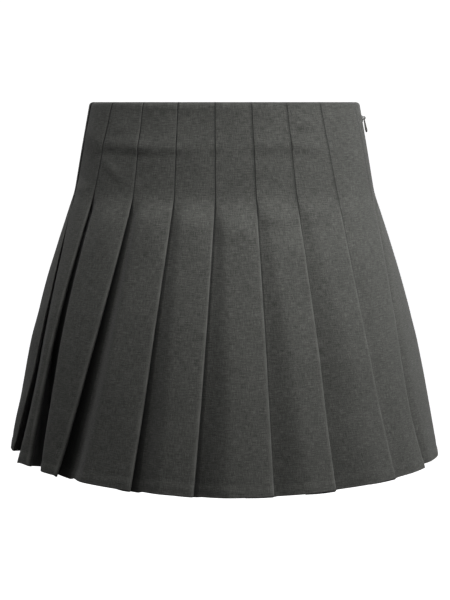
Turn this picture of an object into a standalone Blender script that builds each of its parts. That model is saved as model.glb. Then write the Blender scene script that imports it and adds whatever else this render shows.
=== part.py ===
"""Knife-pleated mini skirt with a concealed side zip, hanging in its worn, filled-out form.

Metres, +Z up. The front faces -Y and the zip is on +X, the wearer's left. The origin is the centre of
the waist opening, in the plane of the top edge. Each cloth piece is one wall that runs round the body
and folds back under itself at every pleat. The tables are in millimetres and degrees.
"""

import math
from collections import namedtuple

import bmesh
import bpy
import numpy as np

MM = 0.001

LENGTH = 354.5  # top edge to hem, measured straight down at the front
SIDE_HITCH = 3.5  # how much higher the hem hangs at the wearer's right hip
HANG = 0.2  # how much lower the hem hangs, per mm that the cloth there lies in from the form
STITCHED = 86.0  # the pleats are sewn down to this drop
OPENING_RAMP = 22.0  # below the stitching, the drop over which a pleat comes free

CLOTH = 1.1  # wall, measured level
LAYER_GAP = 0.3
LAYER = CLOTH + LAYER_GAP  # from one folded layer to the next
SEAM_GAP = 0.3
UNDERLAY_TOP = 22.0  # how far a pleat is folded back under itself
UNDERLAY_HEM = 27.0
STEP_UP = 5.0  # where a sewn pleat comes level with its neighbour again
FOLD_CLEAR = 1.2  # how far past an edge the cloth under it runs before it rises
FLAT_STEP = 1.0  # spacing, in flat cloth, of the lines that become the fold by the zip
STEP_DEPTHS = (LAYER, 2.9, 4.4, 5.9)  # where that fold starts, its lines' depths in a plain step
DIAGONAL_SLIM = 0.034  # share by which the hem is slimmer than an ellipse on its diagonals
OPEN_AT_RELEASE = 0.35  # share of a pleat's lengths at the hem that it already has where it comes free
RISE_NEAR = 0.34  # along a free panel, shares of its clear width ...
RISE_FAR = 0.7
DIP_NEAR = 0.45  # ... and the shares of its dip that are left there
DIP_FAR = 0.12
LATE_RISE = 0.18  # how much more dip is left, per mm of swell

# The form that the cloth hangs in, at its outer face: half its width and half its depth at each drop.
Girth = namedtuple("Girth", "drop half_width half_depth")
GIRTHS = (
    Girth(0, 133.0, 90.0),
    Girth(45, 141.5, 97.5),
    Girth(89, 149.3, 105.0),
    Girth(104, 154.6, 111.0),
    Girth(136, 165.4, 123.0),
    Girth(168, 175.7, 132.0),
    Girth(200, 185.2, 140.0),
    Girth(233, 194.0, 146.5),
    Girth(266, 201.0, 152.0),
    Girth(310, 210.0, 159.0),
    Girth(LENGTH, 218.6, 165.0),
)

# Drops at which the cloth has a section, closer together where the pleats come free.
DROPS = (0, 30, 60, 84, 94, 108, 130, 160, 200, 244, 290, 326, LENGTH)

# Pleat edges: turn from centre front towards +X at four drops, in degrees, then lengths at the hem:
# lie, how far the edge is out of the form; swell, how far its panel is out of it just before the edge;
# sink, how far the next panel lies in beside the edge; depth, how far the inner fold reaches in.
Pleat = namedtuple("Pleat", "top release middle hem lie swell sink depth")
DROP_RELEASE = 89.0
DROP_MIDDLE = 182.0
SIDE_PLEAT = Pleat(-78.0, -81.5, -77.9, -82.9, 0.0, 0.0, 15.0, 20.0)
FRONT_PLEATS = (
    Pleat(-53.4, -56.4, -57.5, -62.9, -2.5, 4.5, 8.0, 20.0),
    Pleat(-34.9, -35.0, -38.0, -49.6, 0.0, 0.0, 6.5, 12.0),
    Pleat(-19.0, -18.2, -19.6, -23.8, 0.0, 0.0, 5.0, 9.5),
    Pleat(-3.9, -3.3, -4.6, -7.5, 0.0, 0.0, 4.5, 9.0),
    Pleat(10.8, 11.3, 11.4, 12.2, 0.0, 0.0, 3.5, 7.5),
    Pleat(25.7, 26.8, 26.9, 29.2, 0.0, 0.0, 3.5, 7.5),
    Pleat(42.3, 45.9, 44.9, 50.7, 0.0, 0.0, 6.0, 10.0),
)
ZIP_PLEAT = Pleat(71.0, 74.6, 64.0, 67.0, 0.0, 0.0, 8.0, 12.0)  # not sewn down: it starts at the release
FIRST_BACK_PLEAT = Pleat(112.0, 110.0, 107.0, 105.5, 0.0, 0.0, 5.5, 10.0)
# The pleats between that one and the side pleat are evenly spaced round the back.
BACK_LIE = (0.5, 0.0, -0.5, 0.5, 0.0, 0.5, 0.0, -0.5, 0.5)
BACK_SINK = (4.0, 5.5, 4.5, 4.0, 5.0, 3.5, 4.5, 6.0, 5.0)
BACK_DEPTH = (8.0, 10.0, 8.5, 8.0, 9.0, 7.5, 8.5, 11.0, 10.0)
FRONT_EDGES = 9  # the edges from the side pleat to the zip pleat
SEAM_TURN = 90.0

# Concealed zip. The slider's own sizes are in its frame: u out of the cloth, v along +Y, w up the seam.
ZIP_TOP = 3.0
ZIP_DROPS = (ZIP_TOP, 30, 60, 84, 94, 108, 130, 160)
TAPE = 1.1
TAPE_NEAR = 1.5  # from the seam to the tape's near edge
TAPE_FAR = 11.0
PLAIN_BY_SEAM = 13.0
SLIDER_DROP = 16.0
PIVOT_OUT = 2.2  # the pull's axis, out of the cloth's outer face
BAR = 1.0  # the pull's cross bar, square
BRIDGE_INNER = 0.95
BRIDGE_OUTER = 1.75
BRIDGE_WIDTH = 1.4
NECK_LOW = -3.4
NECK_HIGH = 2.9
NECK_FOOT = 0.9
NECK_SLOT = 0.35  # clearance of the slot that the neck goes through
SLIDER_BODY = (2.7, 5.2, 8.6)  # u, v, w
SLIDER_BODY_IN = 2.75  # from the outer face to the near side of the body
SLIDER_ROUND = 0.6
NECK_OVERLAP = 0.6  # how far the neck runs into the body
PULL_LENGTH = 14.4  # from the axis to the tip
PULL_WIDTH_TOP = 4.0
PULL_WIDTH_TIP = 5.0
PULL_THICK_TIP = 1.9
PULL_BOW = 0.25  # how far the tab's lower half bends out
EYE_WIDTH = 2.1
EYE_LOW = 2.15  # from the axis to the lower end of the eye


def clear_scene():
    for leftover in list(bpy.data.objects):
        bpy.data.objects.remove(leftover, do_unlink=True)


def new_collection(name):
    collection = bpy.data.collections.new(name)
    bpy.context.scene.collection.children.link(collection)
    return collection


def new_material(name, colour, roughness, metallic=0.0):
    material = bpy.data.materials.new(name)
    material.use_nodes = True
    shader = material.node_tree.nodes["Principled BSDF"]
    shader.inputs["Base Color"].default_value = (*colour, 1.0)
    shader.inputs["Roughness"].default_value = roughness
    shader.inputs["Metallic"].default_value = metallic
    material.diffuse_color = (*colour, 1.0)
    return material


# ---------------------------------------------------------------- the form that the cloth hangs in


def at_drop(column, drop):
    return float(np.interp(drop, [row.drop for row in GIRTHS], [getattr(row, column) for row in GIRTHS]))


class Ring:
    """One level section of the form, on which places are given by their distance round from centre front."""

    def __init__(self, drop):
        self.drop = drop
        open_share = max(0.0, drop - STITCHED) / (LENGTH - STITCHED)
        turns = np.radians(np.linspace(-360.0, 720.0, 4321))
        slim = 1.0 - DIAGONAL_SLIM * open_share * np.sin(2.0 * turns) ** 2
        self.turns = turns
        self.x = at_drop("half_width", drop) * np.sin(turns) * slim
        self.y = -at_drop("half_depth", drop) * np.cos(turns) * slim
        steps = np.hypot(np.diff(self.x), np.diff(self.y))
        way = np.concatenate(([0.0], np.cumsum(steps)))
        self.way = way - np.interp(0.0, turns, way)

    def way_at(self, turn_deg):
        return float(np.interp(math.radians(turn_deg), self.turns, self.way))

    def point(self, way, out):
        """The point this far round, moved out of the form by out."""
        reach = 0.5
        x0, x1 = np.interp((way - reach, way + reach), self.way, self.x)
        y0, y1 = np.interp((way - reach, way + reach), self.way, self.y)
        length = math.hypot(x1 - x0, y1 - y0)
        x = float(np.interp(way, self.way, self.x)) + out * (y1 - y0) / length
        y = float(np.interp(way, self.way, self.y)) - out * (x1 - x0) / length
        return x, y


def height(drop, x, y, out):
    """Z of the cloth at this drop: higher at the wearer's right hip, and lower where the cloth lies in."""
    turn = math.atan2(x, -y)
    hitch = SIDE_HITCH * max(0.0, -math.sin(turn)) * drop / LENGTH
    return hitch - drop + HANG * out * falling(drop)


# ---------------------------------------------------------------- pleats


def turn_of(pleat, drop):
    """The pleat edge's turn: straight while sewn down, then one smooth curve to the hem."""
    if drop <= DROP_RELEASE:
        return pleat.top + (pleat.release - pleat.top) * drop / DROP_RELEASE
    d0, d1, d2 = DROP_RELEASE, DROP_MIDDLE, LENGTH
    first = pleat.release * (drop - d1) * (drop - d2) / ((d0 - d1) * (d0 - d2))
    second = pleat.middle * (drop - d0) * (drop - d2) / ((d1 - d0) * (d1 - d2))
    third = pleat.hem * (drop - d0) * (drop - d1) / ((d2 - d0) * (d2 - d1))
    return first + second + third


def freed(drop):
    """0 while the pleats are sewn down, 1 where they hang free."""
    return min(1.0, max(0.0, (drop - STITCHED) / OPENING_RAMP))


def falling(drop):
    """0 at the end of the stitching, 1 at the hem."""
    return max(0.0, (drop - STITCHED) / (LENGTH - STITCHED))


def pleat_ways(ring):
    """(pleat, distance round) of every pleat edge, from the right hip round the front and back to it."""
    drop = ring.drop
    ways = [(pleat, ring.way_at(turn_of(pleat, drop))) for pleat in (SIDE_PLEAT, *FRONT_PLEATS, ZIP_PLEAT)]
    first = ring.way_at(turn_of(FIRST_BACK_PLEAT, drop))
    last = ring.way_at(turn_of(SIDE_PLEAT, drop) + 360.0)
    ways.append((FIRST_BACK_PLEAT, first))
    between = list(zip(BACK_LIE, BACK_SINK, BACK_DEPTH))
    for i, (lie, sink, depth) in enumerate(between):
        pleat = Pleat(0, 0, 0, 0, lie, 0, sink, depth)
        ways.append((pleat, first + (last - first) * (i + 1) / (len(between) + 1)))
    ways.append((SIDE_PLEAT, last))
    return ways


def opened(drop):
    """How much of its shape at the hem a pleat has at this drop."""
    return freed(drop) * (OPEN_AT_RELEASE + (1.0 - OPEN_AT_RELEASE) * falling(drop))


def fold_of(pleat, drop):
    """(underlay, lie, sink, depth) of the pleat's fold at this drop."""
    share = opened(drop)
    depth = pleat.depth * share
    length = UNDERLAY_TOP + (UNDERLAY_HEM - UNDERLAY_TOP) * falling(drop)
    return math.sqrt(length**2 - depth**2), pleat.lie * share, pleat.sink * share, depth


def folded_back(way, pleat, drop):
    """The fold behind a pleat's edge: under the edge, back to the inner fold, and on to below the edge."""
    underlay, lie, sink, depth = fold_of(pleat, drop)
    return [
        (way, lie - LAYER),
        (way - underlay, -LAYER - depth),
        (way - underlay, -2.0 * LAYER - depth),
        (way + FOLD_CLEAR, lie - 2.0 * LAYER - sink),
    ]


def growing_fold(way, drop):
    """The pleat by the zip, which isn't sewn down: flat cloth, then a step in it, then a fold under it."""
    underlay, _, sink, depth = fold_of(ZIP_PLEAT, drop)
    step = freed(drop)
    under = min(1.0, max(0.0, (drop - STITCHED - OPENING_RAMP) / OPENING_RAMP))
    flat = 1.0 - step
    folded = (LAYER, LAYER + depth, 2.0 * LAYER + depth, 2.0 * LAYER + sink)
    outs = [-step * (a + (b - a) * under) for a, b in zip(STEP_DEPTHS, folded)]
    return [
        (way + FLAT_STEP * flat, outs[0]),
        (way + 2.0 * FLAT_STEP * flat - underlay * under, outs[1]),
        (way + 3.0 * FLAT_STEP * flat - underlay * under, outs[2]),
        (way + 4.0 * FLAT_STEP * flat + FOLD_CLEAR * step, outs[3]),
    ]


def panel_rise(way, next_way, pleat, next_pleat, drop):
    """The panel from beside one edge, out to the form, and on to the next edge."""
    _, lie, sink, _ = fold_of(pleat, drop)
    below = 2.0 * LAYER + sink - lie
    underlay, next_lie, _, _ = fold_of(next_pleat, drop)
    clear = next_way - way - underlay
    free = freed(drop)
    near = STEP_UP + (RISE_NEAR * clear - STEP_UP) * free
    far = (0.5 + (RISE_FAR - 0.5) * free) * clear
    late = 1.0 + LATE_RISE * next_pleat.swell
    return [
        (way + near, -DIP_NEAR * late * below * free),
        (way + far, -DIP_FAR * late**3 * below * free),
        (way + clear, next_pleat.swell * opened(drop)),
        (next_way, next_lie),
    ]


def zip_panel_front(way, out, seam):
    """The front's share of the plain panel at the zip, from beside the last edge to the seam."""
    clear = seam - way - PLAIN_BY_SEAM
    return [
        (way + RISE_NEAR * clear, DIP_NEAR * out),
        (way + clear, 0.0),
        (seam - SEAM_GAP / 2.0, 0.0),
    ]


def zip_panel_back(seam, next_way, drop):
    """The back's share of the plain panel at the zip, from the seam to the first edge of the back."""
    clear = next_way - seam - fold_of(FIRST_BACK_PLEAT, drop)[0]
    return [
        (seam + SEAM_GAP / 2.0, 0.0),
        (seam + PLAIN_BY_SEAM, 0.0),
        (seam + clear, 0.0),
        (next_way, 0.0),
    ]


def side_seam(way, pleat, drop):
    """The two sides of the seam that is hidden halfway along the side pleat's fold."""
    underlay, _, _, depth = fold_of(pleat, drop)
    ends = []
    for part in (0.5 * underlay - SEAM_GAP / 2.0, 0.5 * underlay + SEAM_GAP / 2.0):
        ends.append((way - part, -LAYER - depth * part / underlay))
    return ends


def front_section(ring):
    """(distance round, out) of the front's middle line at one drop."""
    drop = ring.drop
    ways = pleat_ways(ring)[:FRONT_EDGES]
    seam = ring.way_at(SEAM_TURN)
    side_way = ways[0][1]
    inner_fold, behind, below = folded_back(side_way, SIDE_PLEAT, drop)[1:]
    halfway = ((behind[0] + side_way) / 2.0, (behind[1] + below[1]) / 2.0)
    section = [side_seam(side_way, SIDE_PLEAT, drop)[1], inner_fold, behind, halfway, below]
    for (pleat, way), (next_pleat, next_way) in zip(ways, ways[1:]):
        section += panel_rise(way, next_way, pleat, next_pleat, drop)
        if next_pleat is not ZIP_PLEAT:
            section += folded_back(next_way, next_pleat, drop)
    section += growing_fold(ways[-1][1], drop)
    section += zip_panel_front(ways[-1][1], section[-1][1], seam)
    return section


def back_section(ring):
    """(distance round, out) of the back's middle line at one drop."""
    drop = ring.drop
    ways = pleat_ways(ring)[FRONT_EDGES:]
    seam = ring.way_at(SEAM_TURN)
    section = zip_panel_back(seam, ways[0][1], drop)
    section += folded_back(ways[0][1], ways[0][0], drop)
    for (pleat, way), (next_pleat, next_way) in zip(ways, ways[1:]):
        section += panel_rise(way, next_way, pleat, next_pleat, drop)
        if next_pleat is not SIDE_PLEAT:
            section += folded_back(next_way, next_pleat, drop)
    side_way = ways[-1][1]
    seam_way = side_seam(side_way, SIDE_PLEAT, drop)[0]
    section.insert(-1, (seam_way[0], 0.0))
    section += [folded_back(side_way, SIDE_PLEAT, drop)[0], seam_way]
    return section


# ---------------------------------------------------------------- walls


def unit(vector):
    return vector / np.linalg.norm(vector)


def side_line(line, out):
    """The level line moved to its right by out, mitred at its corners."""
    steps = [unit(b - a) for a, b in zip(line, line[1:])]
    normals = [np.array((step[1], -step[0])) for step in steps]
    moved = []
    for i, point in enumerate(line):
        before = normals[max(i - 1, 0)]
        after = normals[min(i, len(normals) - 1)]
        middle = unit(before + after)
        moved.append(point + middle * out / max(0.5, float(middle @ after)))
    return moved


def wall_lines(section_of, drops):
    """Per drop, the outer and the inner line of a cloth piece, as points in millimetres."""
    outer, inner = [], []
    for drop in drops:
        ring = Ring(drop)
        section = section_of(ring)
        line = [np.array(ring.point(way, out - CLOTH / 2.0)) for way, out in section]
        heights = [height(drop, x, y, out) for (x, y), (_, out) in zip(line, section)]
        for lines, out in ((outer, CLOTH / 2.0), (inner, -CLOTH / 2.0)):
            moved = side_line(line, out)
            lines.append([(x, y, z) for (x, y), z in zip(moved, heights)])
    forward = [b[0] >= a[0] for a, b in zip(section, section[1:])]
    return outer, inner, forward


def add_grid(mesh, rows, forward, flip):
    """A sheet of triangles through rows of points, cut alike wherever layers of it lie on each other."""
    verts = [[mesh.verts.new(np.array(point) * MM) for point in row] for row in rows]
    for upper, lower in zip(verts, verts[1:]):
        for i, onward in enumerate(forward):
            a, b, c, d = upper[i], upper[i + 1], lower[i + 1], lower[i]
            triangles = ((a, b, c), (a, c, d)) if onward else ((a, b, d), (b, c, d))
            for triangle in triangles:
                mesh.faces.new(triangle[::-1] if flip else triangle)
    return verts


def close_rim(mesh, outer, inner):
    """Joins the edges of the outer and the inner sheet."""
    rims = []
    for rows in (outer, inner):
        ends = [row[-1] for row in rows[1:]]
        starts = [row[0] for row in rows[-2:0:-1]]
        rims.append(rows[0] + ends + rows[-1][-2::-1] + starts)
    rim_out, rim_in = rims
    for i in range(len(rim_out)):
        j = (i + 1) % len(rim_out)
        mesh.faces.new((rim_out[j], rim_out[i], rim_in[i], rim_in[j]))


def make_object(name, mesh, material, collection, smooth_deg=35.0):
    bmesh.ops.recalc_face_normals(mesh, faces=mesh.faces)
    data = bpy.data.meshes.new(name)
    mesh.to_mesh(data)
    mesh.free()
    data.materials.append(material)
    data.shade_smooth()
    data.set_sharp_from_angle(angle=math.radians(smooth_deg))
    made = bpy.data.objects.new(name, data)
    collection.objects.link(made)
    return made


def make_wall(name, outer, inner, forward, material, collection):
    mesh = bmesh.new()
    outer_verts = add_grid(mesh, outer, forward, flip=True)
    inner_verts = add_grid(mesh, inner, forward, flip=False)
    close_rim(mesh, outer_verts, inner_verts)
    return make_object(name, mesh, material, collection)


def make_cloth(name, section_of, material, collection):
    outer, inner, forward = wall_lines(section_of, DROPS)
    return make_wall(name, outer, inner, forward, material, collection)


# ---------------------------------------------------------------- zip


def seam_chord(side, drop):
    """Inner face of the wall beside the seam at this drop: the seam's end, and where the plain strip ends.

    side is -1 on the front and 1 on the back. Between sections the wall is straight, so this is too.
    """
    above = max(d for d in DROPS if d <= drop)
    below = min(d for d in DROPS if d >= drop)
    share = 0.0 if below == above else (drop - above) / (below - above)
    ends = []
    for level in (above, below):
        ring = Ring(level)
        seam = ring.way_at(SEAM_TURN)
        near = np.array(ring.point(seam + side * SEAM_GAP / 2.0, -CLOTH / 2.0))
        far = np.array(ring.point(seam + side * PLAIN_BY_SEAM, -CLOTH / 2.0))
        along = unit(far - near)
        outward = np.array((along[1], -along[0])) * side
        inward = -outward * (CLOTH / 2.0)
        ends.append((near + inward, far + inward, outward))
    near, far, outward = (a * (1.0 - share) + b * share for a, b in zip(*ends))
    return near, far, unit(outward)


def make_tape(name, side, material, collection):
    """Half of the zip's tape, inside the cloth beside the seam."""
    outer, inner = [], []
    for drop in ZIP_DROPS:
        near, far, outward = seam_chord(side, drop)
        along = unit(far - near)
        edge_near = near + along * TAPE_NEAR - outward * SEAM_GAP
        edge_far = near + along * TAPE_FAR - outward * SEAM_GAP
        line = (edge_near, edge_far) if side > 0 else (edge_far, edge_near)
        outer.append([(p[0], p[1], -drop) for p in line])
        inner.append([(p[0], p[1], -drop) for p in (q - outward * TAPE for q in line)])
    return make_wall(name, outer, inner, [True], material, collection)


def seam_face(drop):
    """X of the cloth's outer face at the zip seam."""
    near, _, outward = seam_chord(1, drop)
    return float((near + outward * CLOTH)[0])


def make_zip_frame(collection):
    """An empty on the pull's axis, turned so that its own X points out of the cloth."""
    rise = 10.0
    lean = math.atan2(seam_face(SLIDER_DROP + rise) - seam_face(SLIDER_DROP - rise), 2.0 * rise)
    frame = bpy.data.objects.new("zip_frame", None)
    frame.empty_display_size = 0.01
    frame.location = np.array((seam_face(SLIDER_DROP), 0.0, -SLIDER_DROP)) * MM
    frame.rotation_euler = (0.0, -lean, 0.0)
    collection.objects.link(frame)
    return frame


def outline_solid(name, outlines, width, collection):
    """A flat outline in the zip frame's XZ plane, with its holes, as thick as width along Y."""
    curve = bpy.data.curves.new(name, "CURVE")
    curve.dimensions = "2D"
    curve.fill_mode = "BOTH"
    curve.extrude = width * MM / 2.0
    for outline in outlines:
        spline = curve.splines.new("POLY")
        spline.points.add(len(outline) - 1)
        for point, (u, w) in zip(spline.points, outline):
            point.co = (u * MM, w * MM, 0.0, 1.0)
        spline.use_cyclic_u = True
    flat = bpy.data.objects.new(name, curve)
    flat.rotation_euler = (math.radians(90.0), 0.0, 0.0)
    collection.objects.link(flat)
    bpy.context.view_layer.update()
    evaluated = flat.evaluated_get(bpy.context.evaluated_depsgraph_get())
    data = bpy.data.meshes.new_from_object(evaluated)
    data.transform(flat.matrix_world)
    bpy.data.objects.remove(flat, do_unlink=True)
    mesh = bmesh.new()
    mesh.from_mesh(data)
    bpy.data.meshes.remove(data)
    bmesh.ops.remove_doubles(mesh, verts=mesh.verts, dist=1e-6)
    return mesh


def arc(centre, radius, start_deg, end_deg, steps):
    """Points on an arc in the UW plane, 0 degrees being straight out of the cloth."""
    points = []
    for i in range(steps + 1):
        angle = math.radians(start_deg + (end_deg - start_deg) * i / steps)
        points.append((centre[0] + radius * math.cos(angle), centre[1] + radius * math.sin(angle)))
    return points


def make_box(name, size, centre, collection):
    mesh = bmesh.new()
    bmesh.ops.create_cube(mesh, size=1.0)
    bmesh.ops.scale(mesh, vec=np.array(size) * MM, verts=mesh.verts)
    bmesh.ops.translate(mesh, vec=np.array(centre) * MM, verts=mesh.verts)
    data = bpy.data.meshes.new(name)
    mesh.to_mesh(data)
    mesh.free()
    made = bpy.data.objects.new(name, data)
    collection.objects.link(made)
    return made


def as_cutter(helper):
    helper.hide_render = True
    helper.display_type = "WIRE"
    return helper


def add_boolean(target, helper, operation):
    modifier = target.modifiers.new(helper.name, "BOOLEAN")
    modifier.operation = operation
    modifier.solver = "EXACT"
    modifier.object = helper


def make_slider(frame, material, parts, cutters):
    """The slider: a body inside the seam, a neck through it, and the bridge that holds the pull."""
    pivot = (PIVOT_OUT, 0.0)
    bridge = [
        (-SLIDER_BODY_IN - NECK_OVERLAP, NECK_LOW),
        (NECK_FOOT, NECK_LOW),
        (NECK_FOOT, -BRIDGE_OUTER),
        *arc(pivot, BRIDGE_OUTER, -90.0, 90.0, 10),
        (NECK_FOOT, BRIDGE_OUTER),
        (NECK_FOOT, NECK_HIGH),
        (-SLIDER_BODY_IN - NECK_OVERLAP, NECK_HIGH),
    ]
    hole_in = (PIVOT_OUT - 0.35, 0.0)
    hole = arc(pivot, BRIDGE_INNER, -90.0, 90.0, 8) + arc(hole_in, BRIDGE_INNER, 90.0, 270.0, 8)
    solid = outline_solid("bridge", (bridge, hole), BRIDGE_WIDTH, cutters)
    slider = make_object("zip_slider", solid, material, parts)
    slider.parent = frame
    body_centre = (-SLIDER_BODY_IN - SLIDER_BODY[0] / 2.0, 0.0, -0.4)
    body = as_cutter(make_box("slider_body", SLIDER_BODY, body_centre, cutters))
    body.parent = frame
    bevel = body.modifiers.new("round", "BEVEL")
    bevel.width = SLIDER_ROUND * MM
    bevel.segments = 2
    add_boolean(slider, body, "UNION")
    return slider


def make_neck_slot(frame, cutters):
    size = (12.0, BRIDGE_WIDTH + 2.0 * NECK_SLOT, NECK_HIGH - NECK_LOW + 2.0 * NECK_SLOT)
    slot = as_cutter(make_box("neck_slot", size, (-1.0, 0.0, (NECK_HIGH + NECK_LOW) / 2.0), cutters))
    slot.parent = frame
    return slot


def make_pull(frame, material, parts):
    """The pull tab, hanging from its cross bar: thin at the eye, thicker and wider at its round tip."""
    eye_half = EYE_WIDTH / 2.0
    bar_half = BAR / 2.0
    top_half = PULL_WIDTH_TOP / 2.0
    tip_half = PULL_WIDTH_TIP / 2.0
    tip_centre = -PULL_LENGTH + tip_half
    rows = [(w, top_half, bar_half, 0.0) for w in (bar_half, -bar_half, -EYE_LOW)]
    for share in (0.35, 0.7, 1.0):
        w = -EYE_LOW + (tip_centre + EYE_LOW) * share
        half = top_half + (tip_half - top_half) * share
        rows.append((w, half, bar_half + (PULL_THICK_TIP / 2.0 - bar_half) * share, PULL_BOW * share**2))
    for angle in (30.0, 55.0, 75.0):
        turn = math.radians(angle)
        thinning = 1.0 - 0.35 * math.sin(turn)
        w = tip_centre - tip_half * math.sin(turn)
        rows.append((w, tip_half * math.cos(turn), PULL_THICK_TIP / 2.0 * thinning, PULL_BOW))
    mesh = bmesh.new()
    sheets = []
    for face in (1.0, -1.0):
        sheet = []
        for w, half, thick, out in rows:
            splits = (-half, -min(eye_half, half * 0.5), min(eye_half, half * 0.5), half)
            sheet.append([mesh.verts.new(np.array((out + face * thick, v, w)) * MM) for v in splits])
        sheets.append(sheet)
    eye_row = 1
    for sheet, flip in zip(sheets, (False, True)):
        for r in range(len(rows) - 1):
            for k in range(3):
                if (r, k) == (eye_row, 1):
                    continue
                quad = (sheet[r][k], sheet[r][k + 1], sheet[r + 1][k + 1], sheet[r + 1][k])
                mesh.faces.new(quad[::-1] if flip else quad)
    front, back = sheets
    eye = [(eye_row, 1), (eye_row, 2), (eye_row + 1, 2), (eye_row + 1, 1)]
    rim = [(0, k) for k in range(4)] + [(r, 3) for r in range(1, len(rows))]
    rim += [(len(rows) - 1, k) for k in (2, 1, 0)] + [(r, 0) for r in range(len(rows) - 2, 0, -1)]
    for loop in (eye, rim):
        for (r0, k0), (r1, k1) in zip(loop, loop[1:] + loop[:1]):
            mesh.faces.new((front[r0][k0], front[r1][k1], back[r1][k1], back[r0][k0]))
    pull = make_object("zip_pull", mesh, material, parts)
    pull.parent = frame
    pull.location = (PIVOT_OUT * MM, 0.0, 0.0)
    return pull


def main():
    clear_scene()
    parts = new_collection("pleated_mini_skirt")
    cutters = new_collection("cutters")
    cutters.hide_render = True

    wool_front = new_material("wool_front", (0.085, 0.085, 0.08), 0.85)
    wool_back = new_material("wool_back", (0.08, 0.08, 0.075), 0.85)
    tape_front = new_material("tape_front", (0.035, 0.035, 0.035), 0.8)
    tape_back = new_material("tape_back", (0.035, 0.035, 0.035), 0.8)
    slider_metal = new_material("slider_metal", (0.10, 0.10, 0.095), 0.4, 0.7)
    pull_metal = new_material("pull_metal", (0.10, 0.10, 0.095), 0.4, 0.7)

    front = make_cloth("skirt_front", front_section, wool_front, parts)
    back = make_cloth("skirt_back", back_section, wool_back, parts)
    make_tape("zip_tape_front", -1, tape_front, parts)
    make_tape("zip_tape_back", 1, tape_back, parts)

    frame = make_zip_frame(parts)
    slot = make_neck_slot(frame, cutters)
    add_boolean(front, slot, "DIFFERENCE")
    add_boolean(back, slot, "DIFFERENCE")
    make_slider(frame, slider_metal, parts, cutters)
    make_pull(frame, pull_metal, parts)


main()
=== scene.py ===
"""Looks of the pleated mini skirt: its cloth with every fold and crease, its zip, light and camera.

Metres, +Z up. The front faces -Y and the zip is on +X, the wearer's left. The tables are in
millimetres and degrees: a turn is measured from centre front towards +X, and a drop straight down
from the top edge. Out is the distance from the form that the cloth hangs in, negative inside it.
"""

import math
from collections import namedtuple

import bmesh
import bpy
import numpy as np
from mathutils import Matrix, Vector


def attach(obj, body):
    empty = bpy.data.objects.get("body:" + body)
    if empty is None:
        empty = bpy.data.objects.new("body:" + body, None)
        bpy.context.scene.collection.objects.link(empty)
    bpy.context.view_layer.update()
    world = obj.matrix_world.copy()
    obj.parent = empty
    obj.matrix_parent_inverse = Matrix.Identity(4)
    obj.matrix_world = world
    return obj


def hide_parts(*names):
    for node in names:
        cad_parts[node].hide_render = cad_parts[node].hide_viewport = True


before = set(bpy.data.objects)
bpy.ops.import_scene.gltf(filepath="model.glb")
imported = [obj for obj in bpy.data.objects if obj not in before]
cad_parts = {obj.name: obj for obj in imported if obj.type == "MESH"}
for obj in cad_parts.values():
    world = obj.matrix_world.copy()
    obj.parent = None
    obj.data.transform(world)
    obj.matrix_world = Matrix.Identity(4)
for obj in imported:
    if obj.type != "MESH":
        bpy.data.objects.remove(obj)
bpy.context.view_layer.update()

MM = 0.001

# ---------------------------------------------------------------- the skirt's own sizes
#
# They are close to those of the solids. Below the stitching they differ: the form is deeper in front and
# behind, the pleats open later, most of them deeper and three less deep, and the side pleat's edge is further
# forward.

LENGTH = 354.5  # top edge to hem, straight down at the front
SIDE_HITCH = 3.5  # how much higher the hem hangs at the wearer's right hip
HANG = 0.28  # how much lower the hem hangs, per mm that the cloth there lies in from the form
STITCHED = 86.0  # the pleats are sewn down to this drop
OPENING_RAMP = 22.0  # below the stitching, the drop over which a pleat comes free
UNDERLAY_TOP = 22.0  # how far a pleat is folded back under itself, at the top ...
UNDERLAY_HEM = 27.0  # ... and at the hem
DIAGONAL_SLIM = 0.034  # share by which the hem is slimmer than an ellipse on its diagonals
OPEN_AT_RELEASE = 0.1  # share of a pleat's shape at the hem that it already has where it comes free
DROP_RELEASE = 89.0  # drop of the second turn in a pleat's row ...
DROP_MIDDLE = 182.0  # ... and of the third
SEAM_TURN = 90.0  # the zip seam
SEAM_GAP = 0.3

# The form that the cloth hangs in: half its width and half its depth at each drop.
Girth = namedtuple("Girth", "drop half_width half_depth")
GIRTHS = (
    Girth(0, 133.0, 90.0),
    Girth(45, 141.5, 97.5),
    Girth(89, 149.3, 105.0),
    Girth(104, 154.6, 112.5),
    Girth(136, 165.4, 126.5),
    Girth(168, 175.7, 136.5),
    Girth(200, 185.2, 145.0),
    Girth(233, 194.0, 151.0),
    Girth(266, 201.0, 156.0),
    Girth(310, 210.0, 161.0),
    Girth(LENGTH, 218.6, 165.0),
)
GIRTH_MARGIN = 60.0  # how far the form runs on past both ends of the table
GIRTH_NEAR = 12.0  # how far up and down its corners are rounded ...
GIRTH_SOFTNESS = 6.5  # ... and how softly
GIRTH_SAMPLES = 13
RING_TURNS = (-150.0, 420.0, 3421)  # first and last turn of a section's points, and their number

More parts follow.
